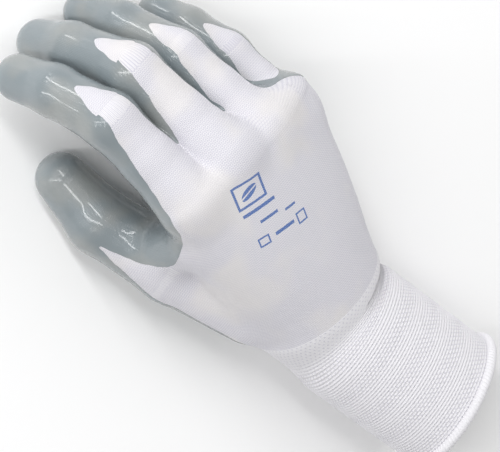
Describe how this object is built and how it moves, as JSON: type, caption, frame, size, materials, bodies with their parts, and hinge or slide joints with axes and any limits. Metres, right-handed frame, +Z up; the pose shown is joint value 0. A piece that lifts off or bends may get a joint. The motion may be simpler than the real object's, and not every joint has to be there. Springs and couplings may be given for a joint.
{
  "type": "coated knit work glove",
  "caption": "Right-hand seamless knit work glove with a nitrile-dipped palm and fingertips and a long ribbed cuff, lying palm down as if worn.",
  "frame": {"origin": "centre of the footprint on the floor the glove lies on", "axes": "+Y towards the fingertips, +Z up from the palm side to the back of the hand, thumb towards -X"},
  "size_m": [0.1206, 0.2402, 0.0754],
  "materials": {
    "knit": "matte knitted nylon",
    "nitrile": "smooth glossy film",
    "rib": "elastic rib knit",
    "overlock": "overlocked edge",
    "elastic": "laid-in elastic yarn"
  },
  "bodies": {
    "hand": {"hand_lower_knit": "knit", "hand_upper_knit": "knit", "hand_thumb_knit": "knit", "hand_film": "nitrile"},
    "wrist": {"wrist_ring": "rib", "wrist_flex_fold": "rib", "wrist_side_fold": "rib"},
    "cuff": {"cuff_rib": "rib", "cuff_elastic": "elastic", "cuff_hem": "overlock"},
    "index_base": {"index_base_knit": "knit", "index_base_film": "nitrile", "index_root_fold": "knit"},
    "index_middle": {"index_middle_knit": "knit", "index_middle_film": "nitrile", "index_middle_fold": "knit"},
    "index_tip": {"index_tip_knit": "knit", "index_tip_film": "nitrile", "index_tip_fold": "knit"},
    "middle_base": {"middle_base_knit": "knit", "middle_base_film": "nitrile", "middle_root_fold": "knit"},
    "middle_middle": {"middle_middle_knit": "knit", "middle_middle_film": "nitrile", "middle_middle_fold": "knit"},
    "middle_tip": {"middle_tip_knit": "knit", "middle_tip_film": "nitrile", "middle_tip_fold": "knit"},
    "ring_base": {"ring_base_knit": "knit", "ring_base_film": "nitrile", "ring_root_fold": "knit"},
    "ring_middle": {"ring_middle_knit": "knit", "ring_middle_film": "nitrile", "ring_middle_fold": "knit"},
    "ring_tip": {"ring_tip_knit": "knit", "ring_tip_film": "nitrile", "ring_tip_fold": "knit"},
    "little_base": {"little_base_knit": "knit", "little_base_film": "nitrile", "little_root_fold": "knit"},
    "little_middle": {"little_middle_knit": "knit", "little_middle_film": "nitrile", "little_middle_fold": "knit"},
    "little_tip": {"little_tip_knit": "knit", "little_tip_film": "nitrile", "little_tip_fold": "knit"},
    "thumb_base": {"thumb_base_knit": "knit", "thumb_base_film": "nitrile", "thumb_root_fold": "knit"},
    "thumb_middle": {"thumb_middle_knit": "knit", "thumb_middle_film": "nitrile", "thumb_middle_fold": "knit"},
    "thumb_tip": {"thumb_tip_knit": "knit", "thumb_tip_film": "nitrile", "thumb_tip_fold": "knit"}
  },
  "joints": [
    {"name": "index_root", "type": "hinge", "parent": "hand", "child": "index_base", "pos_m": [-0.02764, 0.06465, 0.05998], "axis": [-0.9314, -0.1537, 0.3301], "range_deg": [-20, 30], "deforming": ["index_root_fold"]},
    {"name": "index_middle", "type": "hinge", "parent": "index_base", "child": "index_middle", "pos_m": [-0.03043, 0.07935, 0.05896], "axis": [-0.9314, -0.1537, 0.3301], "range_deg": [-30, 30], "deforming": ["index_middle_fold"]},
    {"name": "index_tip", "type": "hinge", "parent": "index_middle", "child": "index_tip", "pos_m": [-0.03866, 0.09792, 0.04438], "axis": [-0.9314, -0.1537, 0.3301], "range_deg": [-18, 18], "deforming": ["index_tip_fold"]},
    {"name": "middle_root", "type": "hinge", "parent": "hand", "child": "middle_base", "pos_m": [-0.00676, 0.06938, 0.0529], "axis": [-0.9323, -0.1287, 0.338], "range_deg": [-20, 30], "deforming": ["middle_root_fold"]},
    {"name": "middle_middle", "type": "hinge", "parent": "middle_base", "child": "middle_middle", "pos_m": [-0.01059, 0.08764, 0.04929], "axis": [-0.9323, -0.1287, 0.338], "range_deg": [-30, 45], "deforming": ["middle_middle_fold"]},
    {"name": "middle_tip", "type": "hinge", "parent": "middle_middle", "child": "middle_tip", "pos_m": [-0.02067, 0.10441, 0.02789], "axis": [-0.9323, -0.1287, 0.338], "range_deg": [-18, 27], "deforming": ["middle_tip_fold"]},
    {"name": "ring_root", "type": "hinge", "parent": "hand", "child": "ring_base", "pos_m": [0.01312, 0.06594, 0.04178], "axis": [-0.9326, -0.112, 0.3431], "range_deg": [-20, 30], "deforming": ["ring_root_fold"]},
    {"name": "ring_middle", "type": "hinge", "parent": "ring_base", "child": "ring_middle", "pos_m": [0.01015, 0.08024, 0.03838], "axis": [-0.9326, -0.112, 0.3431], "range_deg": [-30, 45], "deforming": ["ring_middle_fold"]},
    {"name": "ring_tip", "type": "hinge", "parent": "ring_middle", "child": "ring_tip", "pos_m": [0.00168, 0.09975, 0.02174], "axis": [-0.9326, -0.112, 0.3431], "range_deg": [-18, 27], "deforming": ["ring_tip_fold"]},
    {"name": "little_root", "type": "hinge", "parent": "hand", "child": "little_base", "pos_m": [0.03185, 0.05511, 0.03023], "axis": [-0.9325, -0.087, 0.3506], "range_deg": [-20, 30], "deforming": ["little_root_fold"]},
    {"name": "little_middle", "type": "hinge", "parent": "little_base", "child": "little_middle", "pos_m": [0.02985, 0.06669, 0.02779], "axis": [-0.9325, -0.087, 0.3506], "range_deg": [-30, 45], "deforming": ["little_middle_fold"]},
    {"name": "little_tip", "type": "hinge", "parent": "little_middle", "child": "little_tip", "pos_m": [0.0248, 0.08231, 0.01822], "axis": [-0.9325, -0.087, 0.3506], "range_deg": [-18, 27], "deforming": ["little_tip_fold"]},
    {"name": "thumb_spread", "type": "hinge", "parent": "hand", "child": "thumb_base", "pos_m": [-0.03723, 0.01623, 0.01894], "axis": [-0.4789, 0.0079, 0.8778], "range_deg": [-15, 15], "deforming": ["thumb_root_fold"]},
    {"name": "thumb_knuckle", "type": "hinge", "parent": "thumb_base", "child": "thumb_middle", "pos_m": [-0.04165, 0.02655, 0.01643], "axis": [-0.7892, -0.4418, -0.4266], "range_deg": [0, 30], "deforming": ["thumb_middle_fold"]},
    {"name": "thumb_tip", "type": "hinge", "parent": "thumb_middle", "child": "thumb_tip", "pos_m": [-0.04709, 0.03924, 0.01335], "axis": [-0.7892, -0.4418, -0.4266], "range_deg": [-15, 45], "deforming": ["thumb_tip_fold"]},
    {"name": "wrist_flex", "type": "hinge", "parent": "hand", "child": "wrist", "pos_m": [0.0073, -0.04122, 0.02748], "axis": [-0.9326, -0.1037, 0.3456], "range_deg": [-25, 25], "deforming": ["wrist_flex_fold"]},
    {"name": "wrist_side", "type": "hinge", "parent": "wrist", "child": "cuff", "pos_m": [0.01188, -0.05803, 0.0266], "axis": [0.2589, 0.0657, 0.9637], "range_deg": [-15, 15], "deforming": ["wrist_side_fold"]}
  ],
  "couplings": [
    {"joint": "index_tip", "follows": "index_middle", "ratio": 0.6},
    {"joint": "middle_tip", "follows": "middle_middle", "ratio": 0.6},
    {"joint": "ring_tip", "follows": "ring_middle", "ratio": 0.6},
    {"joint": "little_tip", "follows": "little_middle", "ratio": 0.6}
  ]
}
